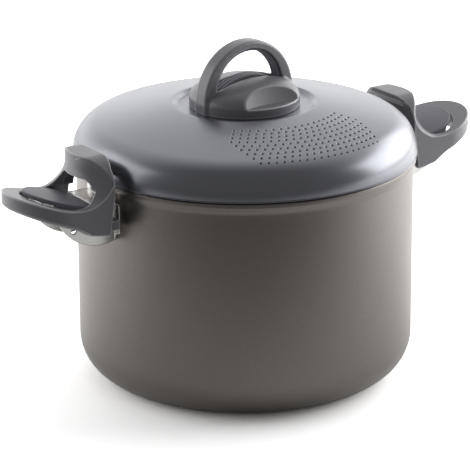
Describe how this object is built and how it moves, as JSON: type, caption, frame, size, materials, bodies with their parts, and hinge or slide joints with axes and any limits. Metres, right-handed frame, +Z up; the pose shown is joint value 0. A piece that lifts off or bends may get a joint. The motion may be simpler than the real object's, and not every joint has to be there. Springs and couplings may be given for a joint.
{
  "type": "pasta pot with draining lid",
  "caption": "Round stovetop pasta pot with a domed draining lid, an arched centre knob and tilting side handles whose hoods hook over the lid.",
  "frame": {"origin": "bottom centre of the pot", "axes": "+Z up along the pot's axis, +X along the line of the two handles, draining holes towards -Y"},
  "size_m": [0.392, 0.252, 0.2485],
  "materials": {
    "anodised_pot": "satin hard-anodised, warm grey",
    "satin_lid": "satin anodised, cool grey",
    "black_plastic": "fine moulded texture",
    "pad_plastic": "satin",
    "bracket_steel": "polished",
    "rivet_aluminium": "satin",
    "steel": "plain",
    "brass_insert": "turned",
    "white_nylon": "plain"
  },
  "bodies": {
    "pot": {"pot_shell": "anodised_pot", "left_bracket": "bracket_steel", "left_rivets": "rivet_aluminium", "left_pad": "pad_plastic", "left_pad_screws": "steel", "left_pin_bushes": "white_nylon", "right_bracket": "bracket_steel", "right_rivets": "rivet_aluminium", "right_pad": "pad_plastic", "right_pad_screws": "steel", "right_pin_bushes": "white_nylon"},
    "lid": {"lid_shell": "satin_lid", "knob": "black_plastic", "knob_liner": "pad_plastic", "knob_insert": "brass_insert", "knob_washer": "steel", "knob_screw": "steel"},
    "left_grip": {"left_handle": "black_plastic", "left_pivot_pin": "steel", "left_pin_cap": "black_plastic"},
    "right_grip": {"right_handle": "black_plastic", "right_pivot_pin": "steel", "right_pin_cap": "black_plastic"}
  },
  "joints": [
    {"name": "lid_lift", "type": "slide", "parent": "pot", "child": "lid", "axis": [0, 0, 1], "range_m": [0, 0.06]},
    {"name": "left_grip_tilt", "type": "hinge", "parent": "pot", "child": "left_grip", "pos_m": [-0.146, 0, 0.148], "axis": [0, 1, 0], "range_deg": [0, 6]},
    {"name": "right_grip_tilt", "type": "hinge", "parent": "pot", "child": "right_grip", "pos_m": [0.146, 0, 0.148], "axis": [0, -1, 0], "range_deg": [0, 6]}
  ]
}
